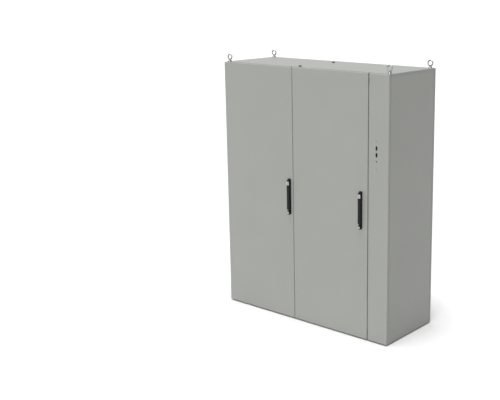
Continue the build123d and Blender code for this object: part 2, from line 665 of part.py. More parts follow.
def door_gasket(name):
    """The foamed gasket, a closed ring on the skin's back."""
    with BuildPart() as gasket:
        upright_ring(SEALS[name], (SEAL_LOW, SEAL_HIGH), GASKET_WIDTH, (SKIN_BACK, GASKET_BACK))
    save(gasket.part, f"{name}_door_gasket")


def hinge_leaves(name, x):
    """The door halves of the hinges: a plate on the skin with two knuckles."""
    axis_x = x[0] + HINGE_INSET
    bore_r = PIN_R + PIN_CLEARANCE
    knuckle = DOOR_KNUCKLE - FRAME_KNUCKLE - 0.5
    with BuildPart() as leaves:
        for z in HINGE_HEIGHTS:
            for start in (z - DOOR_KNUCKLE, z + FRAME_KNUCKLE + 0.5):
                bar((axis_x, HINGE_Y, start), (0, 0, 1), KNUCKLE_R, knuckle)
                sheet_outline(axis_x, HINGE_Y, start, DOOR_ARM, knuckle)
            plate_x = (axis_x + 2, axis_x + 20)
            block(plate_x, (SKIN_BACK, SKIN_BACK + 2.5), (z - DOOR_KNUCKLE, z + DOOR_KNUCKLE))
        for z in HINGE_HEIGHTS:
            start = (axis_x, HINGE_Y, z - DOOR_KNUCKLE)
            bar(start, (0, 0, 1), bore_r, 2 * DOOR_KNUCKLE, Mode.SUBTRACT)
    save(leaves.part, f"{name}_hinge_leaves")


def latch_box(name):
    """The gear housing: open above and below for the rods, bored for the spindle."""
    cx = HANDLE_X[name]
    wall = 1.0
    z = (SPINDLE_Z - BOX_HALF[1], SPINDLE_Z + BOX_HALF[1])
    with BuildPart() as box:
        block((cx - BOX_HALF[0], cx + BOX_HALF[0]), (SKIN_BACK, BOX_BACK), z)
        hollow_x = (cx - BOX_HALF[0] + wall, cx + BOX_HALF[0] - wall)
        block(hollow_x, (SKIN_BACK + 2, BOX_BACK - 2), z, Mode.SUBTRACT)
        bore_r = SPINDLE_R + PIN_CLEARANCE
        bar((cx, SKIN_BACK, SPINDLE_Z), (0, 1, 0), bore_r, 20, Mode.SUBTRACT)
    save(box.part, f"{name}_latch_box")


def rod_guides(name):
    """The guides welded to the skin: each is a closed loop round its rod."""
    cx = HANDLE_X[name]
    with BuildPart() as guides:
        for side, heights in ((-1, UPPER_GUIDES), (1, LOWER_GUIDES)):
            for z in heights:
                span = (z - GUIDE_HALF, z + GUIDE_HALF)
                outer = sorted((cx + side * (ROD_X[0] - 2.3), cx + side * (ROD_X[1] + 2.3)))
                inner = sorted((cx + side * (ROD_X[0] - 0.3), cx + side * (ROD_X[1] + 0.3)))
                block(outer, (SKIN_BACK, ROD_Y[1] + 3), span)
                block(inner, (ROD_Y[0] - 0.3, ROD_Y[1] + 0.3), span, Mode.SUBTRACT)
    save(guides.part, f"{name}_rod_guides")


def handle_base(name):
    """The handle's base plate, with a raised block at its foot."""
    cx = HANDLE_X[name]
    middle = (HANDLE_Z[0] + HANDLE_Z[1]) / 2
    with BuildPart() as base:
        with BuildSketch(facing(FRONT)):
            with Locations((cx, middle)):
                RectangleRounded(HANDLE_WIDTH, HANDLE_Z[1] - HANDLE_Z[0], 6)
        extrude(amount=FRONT - BASE_FRONT)
        with BuildSketch(facing(BASE_FRONT)):
            with Locations((cx, CAP_Z)):
                RectangleRounded(HANDLE_WIDTH, 28, 6)
        extrude(amount=FOOT)
        fillet(base.faces().sort_by(Axis.Y)[0].edges(), radius=3)
        bore_r = SPINDLE_R + PIN_CLEARANCE
        bar((cx, FRONT, SPINDLE_Z), (0, -1, 0), bore_r, 10, Mode.SUBTRACT)
        bar((cx + CAP_OFFSET, BASE_FRONT - FOOT, CAP_Z), (0, 1, 0), CAP_R[0], 8, Mode.SUBTRACT)
    save(base.part, f"{name}_handle_base")


def handle_cap(name):
    """The bright round cap in the foot of the handle."""
    seat = (HANDLE_X[name] + CAP_OFFSET, BASE_FRONT - FOOT, CAP_Z)
    with BuildPart() as cap:
        bar(seat, (0, 1, 0), CAP_R[0], 8)
        bar(seat, (0, -1, 0), CAP_R[1], 3.5)
        fillet(cap.faces().sort_by(Axis.Y)[0].edges(), radius=1.5)
    save(cap.part, f"{name}_handle_cap")


def involute(radius):
    """Angle by which an involute tooth flank has turned in at the radius."""
    base_r = PITCH_R * math.cos(PRESSURE)
    angle = math.acos(min(1.0, base_r / radius))
    return math.tan(angle) - angle


def pinion_points():
    """The pinion outline: a tooth space lies on each side, where the racks mesh."""
    base_r = PITCH_R * math.cos(PRESSURE)
    root_r = PITCH_R - PINION_DEDENDUM
    tip_r = PITCH_R + PINION_ADDENDUM
    half_pitch = math.pi / 2 / PINION_TEETH
    steps = 5
    radii = [base_r + (tip_r - base_r) * i / steps for i in range(steps + 1)]
    flank = [(root_r, involute(base_r))] + [(r, involute(r)) for r in radii]
    at_pitch = involute(PITCH_R)
    points = []
    for tooth in range(PINION_TEETH):
        middle = 2 * math.pi * (tooth + 0.5) / PINION_TEETH
        rising = [(r, middle - half_pitch - at_pitch + turn) for r, turn in flank]
        falling = [(r, middle + half_pitch + at_pitch - turn) for r, turn in reversed(flank)]
        points += [(r * math.cos(a), r * math.sin(a)) for r, a in rising + falling]
    return points


def spindle(name):
    """The spindle: a round shaft with its pinion, and the bored head that carries the lever."""
    cx = HANDLE_X[name]
    with BuildPart() as shaft:
        bar((cx, BOX_BACK + 1, SPINDLE_Z), (0, -1, 0), SPINDLE_R, BOX_BACK + 1 - BASE_FRONT)
        with BuildSketch(facing(GEAR_Y[1])):
            with BuildLine():
                Polyline(*[(cx + u, SPINDLE_Z + v) for u, v in pinion_points()], close=True)
            make_face()
        extrude(amount=GEAR_Y[1] - GEAR_Y[0])
        neck = 4.1
        block((cx - neck, cx + neck), (LEVER_AXIS_Y, BASE_FRONT), (SPINDLE_Z - neck, SPINDLE_Z + neck))
        head = FORK_HALF - 0.3
        bar((cx - head, LEVER_AXIS_Y, SPINDLE_Z), (1, 0, 0), neck, 2 * head)
        bore_r = LEVER_PIN_R + PIN_CLEARANCE
        bar((cx - head, LEVER_AXIS_Y, SPINDLE_Z), (1, 0, 0), bore_r, 2 * head, Mode.SUBTRACT)
    save(shaft.part, f"{name}_spindle")


def lever(name):
    """The handle lever: rounded about its pivot, forked round the spindle head."""
    cx = HANDLE_X[name]
    side = Plane(origin=(cx - HANDLE_WIDTH / 2, 0, 0), x_dir=(0, 1, 0), z_dir=(1, 0, 0))
    with BuildPart() as arm:
        with BuildSketch(side):
            with Locations((LEVER_AXIS_Y, SPINDLE_Z)):
                Circle(LEVER_R)
            with Locations((LEVER_AXIS_Y, (SPINDLE_Z + LEVER_TOP) / 2)):
                Rectangle(2 * LEVER_R, LEVER_TOP - SPINDLE_Z)
        extrude(amount=HANDLE_WIDTH)
        fillet(arm.faces().sort_by(Axis.Z)[-1].edges().sort_by(Axis.Y)[:1], radius=4)
        fork_y = (LEVER_Y[0] + 3.5, LEVER_Y[1])
        fork_x = (cx - FORK_HALF, cx + FORK_HALF)
        block(fork_x, fork_y, (SPINDLE_Z - LEVER_R, SPINDLE_Z + 14), Mode.SUBTRACT)
        start = (cx - HANDLE_WIDTH, LEVER_AXIS_Y, SPINDLE_Z)
        bar(start, (1, 0, 0), LEVER_PIN_R, 2 * HANDLE_WIDTH, Mode.SUBTRACT)
        bore_r = LOCK_R + PIN_CLEARANCE
        bar((cx, LEVER_Y[0], LOCK_Z), (0, 1, 0), bore_r, 16, Mode.SUBTRACT)
    save(arm.part, f"{name}_lever")


def lever_pin(name):
    """The pin that the lever swings on, held in the lever's cheeks."""
    with BuildPart() as pin:
        start = (HANDLE_X[name] - HANDLE_WIDTH / 2 + 0.5, LEVER_AXIS_Y, SPINDLE_Z)
        bar(start, (1, 0, 0), LEVER_PIN_R, HANDLE_WIDTH - 1)
    save(pin.part, f"{name}_lever_pin")


def lock_pieces(name):
    """The bright lock plate on the lever and the keyed core that turns in it."""
    cx = HANDLE_X[name]
    face = LEVER_Y[0] - LOCK_PLATE[2]
    with BuildPart() as plate:
        with BuildSketch(facing(LEVER_Y[0])):
            with Locations((cx, LOCK_Z)):
                RectangleRounded(*LOCK_PLATE[:2], 3)
                Circle(LOCK_R + PIN_CLEARANCE, mode=Mode.SUBTRACT)
        extrude(amount=LOCK_PLATE[2])
    save(plate.part, f"{name}_lock_plate")
    with BuildPart() as core:
        bar((cx, LEVER_Y[1] - 1, LOCK_Z), (0, -1, 0), LOCK_R, LEVER_Y[1] - 1 - face + 0.8)
        keyway_y = (face - 0.8, face + 6)
        block((cx - 0.9, cx + 0.9), keyway_y, (LOCK_Z - 4, LOCK_Z + 4), Mode.SUBTRACT)
    save(core.part, f"{name}_lock_core")


def rack_rod(name, side, tip):
    """A latch rod: side is -1 for the upper rod, left of the pinion, and 1 for the lower."""
    cx = HANDLE_X[name]
    away = -side
    pitch = math.pi * MODULE
    root = PITCH_R + RACK_DEDENDUM
    crest = PITCH_R - RACK_ADDENDUM
    clear = PITCH_R + ROD_TRAVEL + 5
    far_end = SPINDLE_Z - away * (PITCH_R + 1)
    with BuildPart() as rod:
        body_x = sorted((cx + side * root, cx + side * ROD_X[1]))
        block(body_x, ROD_Y, sorted((far_end, tip)))
        wide_x = sorted((cx + side * ROD_X[0], cx + side * ROD_X[1]))
        block(wide_x, ROD_Y, sorted((SPINDLE_Z + away * clear, tip)))
        slope = math.tan(PRESSURE)
        half_root = pitch / 4 - BACKLASH / 2 + RACK_DEDENDUM * slope
        half_crest = pitch / 4 - BACKLASH / 2 - RACK_ADDENDUM * slope
        for tooth in range(-1, 5):
            z = SPINDLE_Z + away * tooth * pitch
            outline = (
                (cx + side * root, z - half_root),
                (cx + side * crest, z - half_crest),
                (cx + side * crest, z + half_crest),
                (cx + side * root, z + half_root),
            )
            with BuildSketch(facing(ROD_Y[1])):
                with BuildLine():
                    Polyline(*outline, close=True)
                make_face()
            extrude(amount=ROD_Y[1] - ROD_Y[0])
        tip_faces = rod.faces().sort_by(Axis.Z)
        tip_face = tip_faces[-1] if away > 0 else tip_faces[0]
        chamfer(tip_face.edges().filter_by(Axis.X), length=1.5)
    word = "upper" if away > 0 else "lower"
    save(rod.part, f"{name}_{word}_rod")


for door_name, door_x in DOORS.items():
    door_skin(door_name, door_x)
    door_stiffener(door_name, door_x)
    door_gasket(door_name)
    hinge_leaves(door_name, door_x)
    latch_box(door_name)
    rod_guides(door_name)
    handle_base(door_name)
    handle_cap(door_name)
    spindle(door_name)
    lever(door_name)
    lever_pin(door_name)
    lock_pieces(door_name)
    rack_rod(door_name, -1, UPPER_TIP)
    rack_rod(door_name, 1, LOWER_TIP)
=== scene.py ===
import math
import random

import bmesh
import bpy
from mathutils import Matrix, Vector


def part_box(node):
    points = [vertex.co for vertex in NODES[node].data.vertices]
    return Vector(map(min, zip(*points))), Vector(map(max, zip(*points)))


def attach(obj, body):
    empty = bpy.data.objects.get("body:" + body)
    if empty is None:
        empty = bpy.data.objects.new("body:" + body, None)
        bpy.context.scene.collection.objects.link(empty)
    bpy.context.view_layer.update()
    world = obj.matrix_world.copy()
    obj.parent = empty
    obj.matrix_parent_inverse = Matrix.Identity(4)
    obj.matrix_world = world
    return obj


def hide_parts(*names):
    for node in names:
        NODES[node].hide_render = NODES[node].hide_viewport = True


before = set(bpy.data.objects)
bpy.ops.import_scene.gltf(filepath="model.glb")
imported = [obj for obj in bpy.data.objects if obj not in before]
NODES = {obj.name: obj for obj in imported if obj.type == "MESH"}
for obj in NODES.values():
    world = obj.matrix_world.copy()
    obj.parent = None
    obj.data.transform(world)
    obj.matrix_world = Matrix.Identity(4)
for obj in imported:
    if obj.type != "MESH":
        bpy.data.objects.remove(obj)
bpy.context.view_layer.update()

MM = 0.001


# --- material helpers -----------------------------------------------------------------------
class Shader:
    """A Principled material with short calls for the nodes that feed it."""

    def __init__(self, name, **numbers):
        self.material = bpy.data.materials.new(name)
        self.material.use_nodes = True
        self.tree = self.material.node_tree
        self.surface = self.tree.nodes["Principled BSDF"]
        for socket, value in numbers.items():
            self.surface.inputs[socket.replace("_", " ")].default_value = value
        self.place = self.node("ShaderNodeTexCoord").outputs["Object"]

    def node(self, kind, **settings):
        made = self.tree.nodes.new(kind)
        for key, value in settings.items():
            setattr(made, key, value)
        return made

    def feed(self, socket, value):
        """Links an output to a socket, or sets the socket's number."""
        if isinstance(value, bpy.types.NodeSocket):
            self.tree.links.new(value, socket)
        else:
            socket.default_value = value

    def stretched(self, scale):
        """The object's coordinates in metres, scaled differently along each axis."""
        mapping = self.node("ShaderNodeMapping")
        self.feed(mapping.inputs["Vector"], self.place)
        mapping.inputs["Scale"].default_value = scale
        return mapping.outputs["Vector"]

    def noise(self, scale, detail=2.0, roughness=0.5, distortion=0.0, vector=None):
        noise = self.node("ShaderNodeTexNoise")
        self.feed(noise.inputs["Vector"], vector or self.place)
        noise.inputs["Scale"].default_value = scale
        noise.inputs["Detail"].default_value = detail
        noise.inputs["Roughness"].default_value = roughness
        noise.inputs["Distortion"].default_value = distortion
        return noise.outputs["Fac"]

    def cells(self, scale, output="Distance", feature="F1", vector=None, randomness=1.0):
        cells = self.node("ShaderNodeTexVoronoi", feature=feature)
        self.feed(cells.inputs["Vector"], vector or self.place)
        cells.inputs["Scale"].default_value = scale
        cells.inputs["Randomness"].default_value = randomness
        return cells.outputs[output]

    def spread(self, value, low, high, to_low=0.0, to_high=1.0):
        """Maps low..high onto to_low..to_high, clamped."""
        ranged = self.node("ShaderNodeMapRange")
        for socket, number in zip(ranged.inputs, (value, low, high, to_low, to_high)):
            self.feed(socket, number)
        return ranged.outputs["Result"]

    def math(self, operation, first, second=0.0):
        made = self.node("ShaderNodeMath", operation=operation)
        self.feed(made.inputs[0], first)
        self.feed(made.inputs[1], second)
        return made.outputs["Value"]

    def mix(self, factor, first, second):
        made = self.node("ShaderNodeMix", data_type="RGBA")
        self.feed(made.inputs["Factor"], factor)
        self.feed(made.inputs[6], first)
        self.feed(made.inputs[7], second)
        return made.outputs[2]

    def bump(self, height, distance, strength=1.0, below=None):
        made = self.node("ShaderNodeBump")
        made.inputs["Strength"].default_value = strength
        made.inputs["Distance"].default_value = distance
        self.feed(made.inputs["Height"], height)
        if below is not None:
            self.feed(made.inputs["Normal"], below)
        return made.outputs["Normal"]

    def finish(self, colour, roughness, normal):
        self.feed(self.surface.inputs["Base Color"], colour)
        self.feed(self.surface.inputs["Roughness"], roughness)
        self.feed(self.surface.inputs["Normal"], normal)
        return self.material


def tint(colour, share):
    """The colour made lighter or darker."""
    return tuple(channel * share for channel in colour[:3]) + (1.0,)


def grey(red, green=None, blue=None):
    """A linear colour, grey unless all three channels are given."""
    return (red, red if green is None else green, red if blue is None else blue, 1.0)


def powder_coat(name, colour, shine):
    """Polyester powder coat: orange peel, a fine grain and slightly cloudy gloss."""
    s = Shader(name, Metallic=0.0, Specular_IOR_Level=0.5)
    cloud = s.noise(2.2, 3.0, 0.6)
    grain = s.noise(900.0, 2.0, 0.6)
    tone = s.math("ADD", s.spread(cloud, 0.3, 0.7, 0.0, 0.6), s.spread(grain, 0.3, 0.7, 0.0, 0.4))
    peel = s.noise(330.0, 1.5, 0.45)
    normal = s.bump(s.noise(3.5, 1.0, 0.4), 0.0022, 0.35)
    normal = s.bump(peel, 0.00012, 0.8, normal)
    normal = s.bump(grain, 0.00002, 0.6, normal)
    gloss = s.spread(s.noise(5.0, 4.0, 0.6), 0.3, 0.7, shine - 0.03, shine + 0.03)
    rough = s.math("ADD", gloss, s.spread(peel, 0.3, 0.7, -0.02, 0.03))
    return s.finish(s.mix(tone, tint(colour, 0.965), tint(colour, 1.03)), rough, normal)


def zinc_sheet(name, colour):
    """Galvanised sheet: soft crystal spangle, rolling streaks and a dull bloom."""
    s = Shader(name, Metallic=0.85, Specular_IOR_Level=0.5)
    crystal = s.cells(150.0, "Color")
    streak = s.noise(1.0, 3.0, 0.6, vector=s.stretched((260.0, 260.0, 4.0)))
    bloom = s.noise(9.0, 4.0, 0.6)
    tone = s.math("ADD", s.spread(crystal, 0.0, 1.0, 0.0, 0.45), s.spread(bloom, 0.3, 0.7, 0.0, 0.4))
    tone = s.math("ADD", tone, s.spread(streak, 0.3, 0.7, 0.0, 0.15))
    rough = s.math("ADD", s.spread(crystal, 0.0, 1.0, 0.3, 0.42), s.spread(bloom, 0.3, 0.7, 0.0, 0.12))
    normal = s.bump(crystal, 0.00003, 0.5)
    normal = s.bump(streak, 0.00002, 0.6, normal)
    return s.finish(s.mix(tone, tint(colour, 0.8), tint(colour, 1.12)), rough, normal)


def plated(name, colour, rough, metal=1.0):
    """Small plated or machined steel parts: fine turning marks and uneven plating."""
    s = Shader(name, Metallic=metal, Specular_IOR_Level=0.5)
    turning = s.noise(1.0, 2.0, 0.5, vector=s.stretched((400.0, 400.0, 3000.0)))
    patch = s.noise(120.0, 3.0, 0.6)
    speck = s.noise(1500.0, 2.0, 0.5)
    tone = s.math("ADD", s.spread(patch, 0.3, 0.7, 0.0, 0.7), s.spread(speck, 0.3, 0.7, 0.0, 0.3))
    normal = s.bump(turning, 0.00001, 0.7)
    normal = s.bump(speck, 0.000008, 0.6, normal)
    gloss = s.spread(patch, 0.3, 0.7, rough - 0.05, rough + 0.07)
    return s.finish(s.mix(tone, tint(colour, 0.82), tint(colour, 1.08)), gloss, normal)


def moulded(name, colour, rough, grain_size):
    """Moulded plastic: a fine eroded grain, with lighter patches at random that stand for rubbing by
    hands, partly wear and partly a sheen painted into the colour.
    """
    s = Shader(name, Metallic=0.0, Specular_IOR_Level=0.2)
    grain = s.cells(1.0 / grain_size, "Distance")
    fine = s.noise(2.2 / grain_size, 2.0, 0.5)
    wear_and_painted_sheen = s.noise(14.0, 3.0, 0.6)
    # the lighter patches are partly wear and partly a painted sheen; the rough value rises there too
    tone = s.math("ADD", s.spread(grain, 0.0, 0.8, 0.0, 0.5), s.spread(wear_and_painted_sheen, 0.3, 0.7, 0.0, 0.5))
    normal = s.bump(grain, 0.00008, 0.5)
    normal = s.bump(fine, 0.00003, 0.5, normal)
    gloss = s.spread(wear_and_painted_sheen, 0.3, 0.7, rough - 0.06, rough + 0.05)
    return s.finish(s.mix(tone, tint(colour, 0.7), tint(colour, 1.35)), gloss, normal)


def foam(name, colour):
    """Foamed-in-place gasket: a matt skin with small open pores, darkened in the pores with painted
    shade.
    """
    s = Shader(name, Metallic=0.0, Specular_IOR_Level=0.2)
    pore = s.spread(s.cells(900.0), 0.08, 0.3)
    lump = s.noise(60.0, 3.0, 0.6)
    # dark in the pores is painted shade in the small recesses; the lumps vary the tone at random
    tone = s.math("MULTIPLY", pore, s.spread(lump, 0.3, 0.7, 0.75, 1.0))
    normal = s.bump(lump, 0.0006, 0.5)
    normal = s.bump(pore, 0.0003, 0.7, normal)
    shade = s.mix(tone, tint(colour, 0.35), tint(colour, 1.1))
    return s.finish(shade, s.spread(pore, 0.0, 1.0, 0.95, 0.8), normal)


PAINT = grey(0.2595, 0.265, 0.2475)
MATERIALS = {
    "painted_steel": powder_coat("light_grey_powder_coat", PAINT, 0.42),
    "painted_frame": powder_coat("light_grey_frame_coat", tint(PAINT, 1.02), 0.46),
    "galvanised_steel": zinc_sheet("galvanised_steel", grey(0.55, 0.56, 0.57)),
    "zinc_fasteners": plated("bright_zinc", grey(0.38, 0.385, 0.38), 0.36),
    "dark_fasteners": plated("black_oxide", grey(0.045), 0.45, 0.7),
    "brass": plated("brass", grey(0.72, 0.52, 0.22), 0.28),
    "gasket_foam": foam("gasket_foam", grey(0.035)),
    "black_plastic": moulded("black_plastic", grey(0.0055, 0.0055, 0.006), 0.5, 0.0012),
    "satin_chrome": plated("satin_chrome", grey(0.5, 0.47, 0.465), 0.33),
    "machined_steel": plated("machined_steel", grey(0.5, 0.5, 0.51), 0.34),
}

for node in NODES.values():
    for holder in node.material_slots:
        holder.material = MATERIALS[holder.name]


# --- rolled edges on folded and machined parts ----------------------------------------------
SHARP = math.radians(38)
SIDES = ("left", "right")
TOUCHING = 1e-6                # metres: vertices closer than this are one vertex


def roll_edges(node, width):
    """Rounds a CAD part's sharp edges a little, which only takes material away."""
    weld = NODES[node].modifiers.new("weld", "WELD")
    weld.merge_threshold = TOUCHING
    bevel = NODES[node].modifiers.new("bevel", "BEVEL")
    bevel.width = width
    bevel.segments = 2
    bevel.limit_method = "ANGLE"
    bevel.angle_limit = SHARP
    bevel.use_clamp_overlap = True
    bevel.harden_normals = True


for side in SIDES:
    roll_edges(f"{side}_latch_box", 0.6 * MM)
    roll_edges(f"{side}_hinge_leaves", 0.5 * MM)
    roll_edges(f"{side}_door_stiffener", 0.4 * MM)
roll_edges("hinge_frame_leaves", 0.5 * MM)
roll_edges("latch_keepers", 0.5 * MM)


# --- mesh helpers ---------------------------------------------------------------------------
def shade(mesh, slot):
    """Gives a mesh its material, smooth faces and sharp corners."""
    mesh.materials.clear()
    mesh.materials.append(MATERIALS[slot])
    mesh.shade_smooth()
    mesh.set_sharp_from_angle(angle=SHARP)


def mesh_from(made, name):
    """Turns a bmesh into a mesh with outward faces."""
    bmesh.ops.recalc_face_normals(made, faces=made.faces)
    mesh = bpy.data.meshes.new(name)
    made.to_mesh(mesh)
    made.free()
    return mesh


def add_piece(name, body, made, slot, replaced):
    """Links a bmesh in row-frame metres as a piece that rides on a body, for one CAD node."""
    piece = bpy.data.objects.new(name, mesh_from(made, name))
    bpy.context.collection.objects.link(piece)
    shade(piece.data, slot)
    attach(piece, body)
    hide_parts(replaced)
    return piece


def cut(piece, slot, made):
    """Takes the shape of a bmesh out of a piece, for good."""
    cutter = bpy.data.objects.new("cutter", mesh_from(made, "cutter"))
    bpy.context.collection.objects.link(cutter)
    change = piece.modifiers.new("cut", "BOOLEAN")
    change.operation = "DIFFERENCE"
    change.solver = "EXACT"
    change.object = cutter
    bpy.context.view_layer.update()
    found = piece.evaluated_get(bpy.context.evaluated_depsgraph_get())
    mesh = bpy.data.meshes.new_from_object(found)
    piece.modifiers.clear()
    piece.data = mesh
    bpy.data.objects.remove(cutter)
    shade(piece.data, slot)


def bridge(made, low, high):
    """Joins two closed rows of vertices; a row of one vertex makes a fan."""
    count = max(len(low), len(high))
    for i in range(count):
        j = (i + 1) % count
        if len(low) == 1:
            made.faces.new((low[0], high[i], high[j]))
        elif len(high) == 1:
            made.faces.new((low[i], low[j], high[0]))
        else:
            made.faces.new((low[i], low[j], high[j], high[i]))


def bridge_all(made, rows):
    """Joins a run of rows, each to the next."""
    for low, high in zip(rows, rows[1:]):
        bridge(made, low, high)


def add_loft(made, rings):
    """Skins a run of equal rings and closes both ends."""
    rows = [[made.verts.new(point) for point in ring] for ring in rings]
    bridge_all(made, rows)
    made.faces.new(rows[0])
    made.faces.new(rows[-1])


def round_row(made, at, axis, reach, height, sides):
    """Vertices round an axis through a place; reach gives the radius at each angle."""
    turn = Vector(axis).to_track_quat("Z", "Y").to_matrix()
    row = []
    for i in range(sides):
        a = 2 * math.pi * i / sides
        radius = reach(a)
        row.append(made.verts.new(
            Vector(at) + turn @ Vector((radius * math.cos(a), radius * math.sin(a), height))
        ))
    return row


def add_lathe(made, profile, at, axis, sides=32):
    """Turns points round an axis through a place; a zero radius ends the shape.

    A point is (radius, height) or (radius, height, lobes), where lobes is the share by which
    the radius swells and shrinks six times round, as a star recess does.
    """
    rows = []
    for radius, height, *lobes in profile:
        if radius < TOUCHING:
            rows.append(round_row(made, at, axis, lambda a: 0.0, height, 1))
            continue
        swell = lobes[0] if lobes else 0.0
        rows.append(round_row(
            made, at, axis, lambda a: radius * (1 + swell * math.cos(6 * a)), height, sides
        ))
    bridge_all(made, rows)


def add_box(made, low, high):
    """A closed box between two corners."""
    found = bmesh.ops.create_cube(made, size=1.0)["verts"]
    low, high = Vector(low), Vector(high)
    for vert in found:
        vert.co = (low + high) / 2 + Vector(a * b for a, b in zip(vert.co, high - low))


def rounded_outline(half_width, half_height, radius, steps):
    """Points and angles round a rectangle about the origin with rounded corners."""
    points = []
    for sign_x, sign_y, start in ((1, 1, 0), (-1, 1, 90), (-1, -1, 180), (1, -1, 270)):
        for k in range(steps + 1):
            a = math.radians(start + 90 * k / steps)
            points.append((
                sign_x * (half_width - radius) + radius * math.cos(a),
                sign_y * (half_height - radius) + radius * math.sin(a),
                a,
            ))
    return points


# --- handles: levers and locks --------------------------------------------------------------
LEVER_TIP = 9 * MM             # height of the rounded top
LEVER_TIP_INSET = 5.5 * MM     # how far the rounded top draws in
LEVER_HOLLOW = 2.6 * MM        # finger hollow behind
LEVER_WAIST = 0.9 * MM
LEVER_FRONT_R = 4.2 * MM
LEVER_REAR_R = 1.4 * MM
HOLLOW_START = 26 * MM         # above the pivot
HOLLOW_END = 14 * MM           # below the lock
KNUCKLE_STEPS = 12
SHANK_STEPS = 40
TIP_STEPS = 8
CORNER_STEPS = 6
NEARLY_CLOSED = 0.999          # keeps the end rings from shrinking to a point
FORK_HALF = 9 * MM
FORK_FRONT = 3.5 * MM          # web left in front of the fork
FORK_TOP = 14 * MM             # above the pivot
LOCK_BORE_R = 7.06 * MM
PLATE_CORNER_R = 3 * MM
PLATE_ROLL = ((0.0, 2.5), (0.0, 1.0), (0.35, 0.35), (1.0, 0.0))     # inset, depth from the front
PLATE_STEPS = 8
CORE_EDGE = 0.8 * MM
KEYWAY_HALF = (0.9 * MM, 3.6 * MM)
KEYWAY_DEPTH = 6 * MM


def rounded_section(x, y, z, front, rear):
    """A ring round a rectangle with front corners of one radius and rear ones of another."""
    corners = (
        (x[0] + front, y[0] + front, front, 180),
        (x[1] - front, y[0] + front, front, 270),
        (x[1] - rear, y[1] - rear, rear, 0),
        (x[0] + rear, y[1] - rear, rear, 90),
    )
    ring = []
    for cx, cy, radius, start in corners:
        for k in range(CORNER_STEPS + 1):
            a = math.radians(start + 90 * k / CORNER_STEPS)
            ring.append((cx + radius * math.cos(a), cy + radius * math.sin(a), z))
    return ring


def lever_levels(low_z, pivot_z, high_z, depth):
    """Heights of the lever's sections, each with half its depth there."""
    levels = []
    for k in range(KNUCKLE_STEPS + 1):
        a = math.pi / 2 * k / KNUCKLE_STEPS
        drop = (pivot_z - low_z) * math.cos(a) * NEARLY_CLOSED
        levels.append((pivot_z - drop, depth / 2 * max(math.sin(a), 0.05)))
    shoulder = high_z - LEVER_TIP
    for k in range(1, SHANK_STEPS + 1):
        levels.append((pivot_z + (shoulder - pivot_z) * k / SHANK_STEPS, depth / 2))
    for k in range(1, TIP_STEPS + 1):
        a = math.pi / 2 * k / TIP_STEPS
        levels.append((shoulder + LEVER_TIP * math.sin(a) * NEARLY_CLOSED, depth / 2))
    return levels


def lever(side):
    """The swing lever: rounded front, a finger hollow behind, a rounded knuckle and top."""
    low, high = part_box(f"{side}_lever")
    pin_low, pin_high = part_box(f"{side}_lever_pin")
    core_low, core_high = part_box(f"{side}_lock_core")
    middle = (low.x + high.x) / 2
    half = (high.x - low.x) / 2
    pivot = (pin_low + pin_high) / 2
    depth = high.y - low.y
    grip_low, grip_high = pivot.z + HOLLOW_START, core_low.z - HOLLOW_END
    rings = []
    for z, reach in lever_levels(low.z, pivot.z, high.z, depth):
        share = (z - grip_low) / (grip_high - grip_low)
        swing = math.sin(math.pi * share) if 0 < share < 1 else 0.0
        hollow = LEVER_HOLLOW * swing ** 0.6
        waist = LEVER_WAIST * swing
        top = max(0.0, (z - (high.z - LEVER_TIP)) / LEVER_TIP)
        inset = LEVER_TIP_INSET * (1 - math.sqrt(max(0.0, 1 - top * top)))
        if reach < depth / 2:
            y = (pivot.y - reach, pivot.y + reach)
        else:
            y = (low.y + inset * 0.8, high.y - hollow - inset * 0.3)
        x = (middle - half + waist + inset, middle + half - waist - inset)
        limit = 0.48 * (y[1] - y[0])
        rings.append(rounded_section(x, y, z, min(LEVER_FRONT_R, limit), min(LEVER_REAR_R, limit)))
    made = bmesh.new()
    add_loft(made, rings)
    piece = add_piece(
        f"{side}_lever_moulding", f"{side}_lever_arm", made, "black_plastic", f"{side}_lever"
    )
    made = bmesh.new()
    add_box(
        made,
        (middle - FORK_HALF, low.y + FORK_FRONT, low.z - 5 * MM),
        (middle + FORK_HALF, high.y + 5 * MM, pivot.z + FORK_TOP),
    )
    cut(piece, "black_plastic", made)
    made = bmesh.new()
    place = (middle, low.y - 2 * MM, (core_low.z + core_high.z) / 2)
    bore = [(0, 0), (LOCK_BORE_R, 0), (LOCK_BORE_R, 18 * MM), (0, 18 * MM)]
    add_lathe(made, bore, place, (0, 1, 0), 48)
    cut(piece, "black_plastic", made)


def lock_plate(side):
    """The bright plate round the lock, with a rolled edge and a countersunk bore."""
    low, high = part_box(f"{side}_lock_plate")
    core_low, core_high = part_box(f"{side}_lock_core")
    x, z = (low.x + high.x) / 2, (low.z + high.z) / 2
    bore = (core_high.x - core_low.x) / 2 + 0.06 * MM
    made = bmesh.new()
    rows = []
    for inset, back in PLATE_ROLL:
        outline = rounded_outline(
            (high.x - low.x) / 2 - inset * MM, (high.z - low.z) / 2 - inset * MM,
            PLATE_CORNER_R - inset * MM, PLATE_STEPS,
        )
        y = min(high.y, low.y + back * MM)
        rows.append([made.verts.new((x + across, y, z + up)) for across, up, a in outline])
    count = len(rows[0])
    bore_z = (core_low.z + core_high.z) / 2
    start = math.radians(45 / (PLATE_STEPS + 1))
    angles = [start + 2 * math.pi * i / count for i in range(count)]
    for radius, y in ((bore + 1.2 * MM, low.y), (bore, low.y + 0.5 * MM), (bore, high.y)):
        rows.append([
            made.verts.new((x + radius * math.cos(a), y, bore_z + radius * math.sin(a)))
            for a in angles
        ])
    bridge_all(made, rows + rows[:1])
    add_piece(
        f"{side}_lock_escutcheon", f"{side}_lever_arm", made, "satin_chrome", f"{side}_lock_plate"
    )


